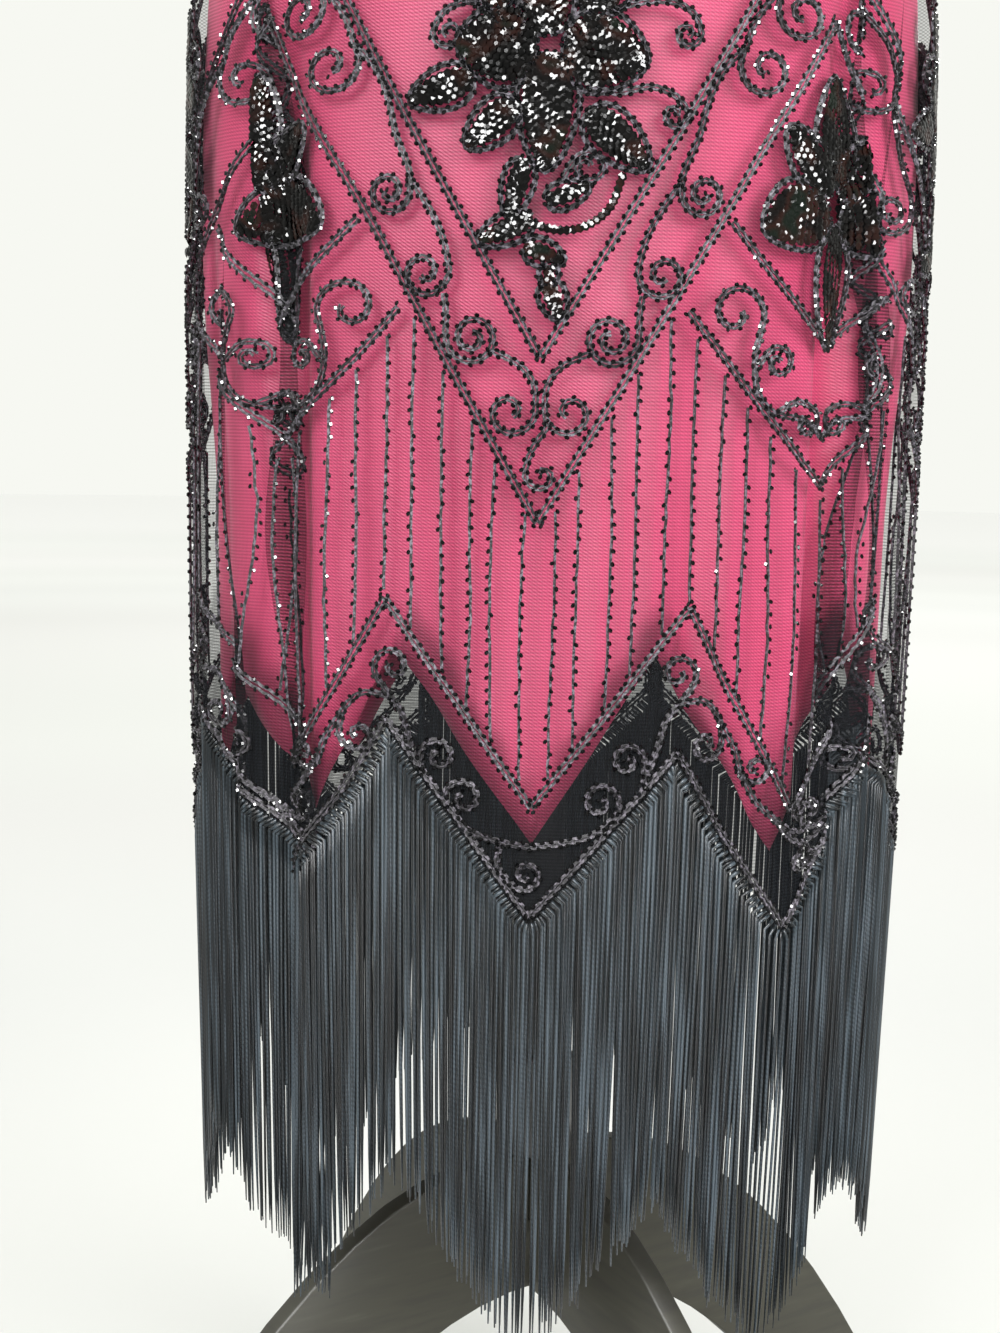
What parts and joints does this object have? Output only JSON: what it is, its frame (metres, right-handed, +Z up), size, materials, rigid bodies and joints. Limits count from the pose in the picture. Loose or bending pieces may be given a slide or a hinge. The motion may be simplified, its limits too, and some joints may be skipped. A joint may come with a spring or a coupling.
{
  "type": "flapper dress on a dress form",
  "caption": "Sleeveless straight dress: satin slip under a beaded black net overlay with a zigzag hem and long fringe, worn by a limbless form on an arched stand.",
  "frame": {"origin": "on the floor, in the middle of the four-legged stand, under the pole", "axes": "+Z up along the pole, the front of the dress faces -Y, the wearer's left is +X"},
  "size_m": [0.4492, 0.4492, 1.3593],
  "materials": {
    "pink_satin": "hot pink twill-backed satin, soft sheen",
    "black_net": "sheer black tricot net",
    "fringe_cord": "twisted rayon cord, blue-black",
    "glass_bead": "faceted black glass",
    "sequin": "cupped glossy black",
    "couching_thread": "grey chain-stitched thread",
    "form_cover": "black jersey cover",
    "stand_wood": "black satin paint",
    "stand_metal": "black satin paint"
  },
  "bodies": {
    "root": {"slip_front": "pink_satin", "slip_back": "pink_satin", "overlay_front": "black_net", "overlay_back": "black_net", "fringe_front": "fringe_cord", "fringe_back": "fringe_cord", "form_torso": "form_cover", "form_neck_cap": "stand_wood", "pole": "stand_metal", "hub": "stand_metal", "arch_a": "stand_wood", "arch_b": "stand_wood"}
  },
  "joints": []
}
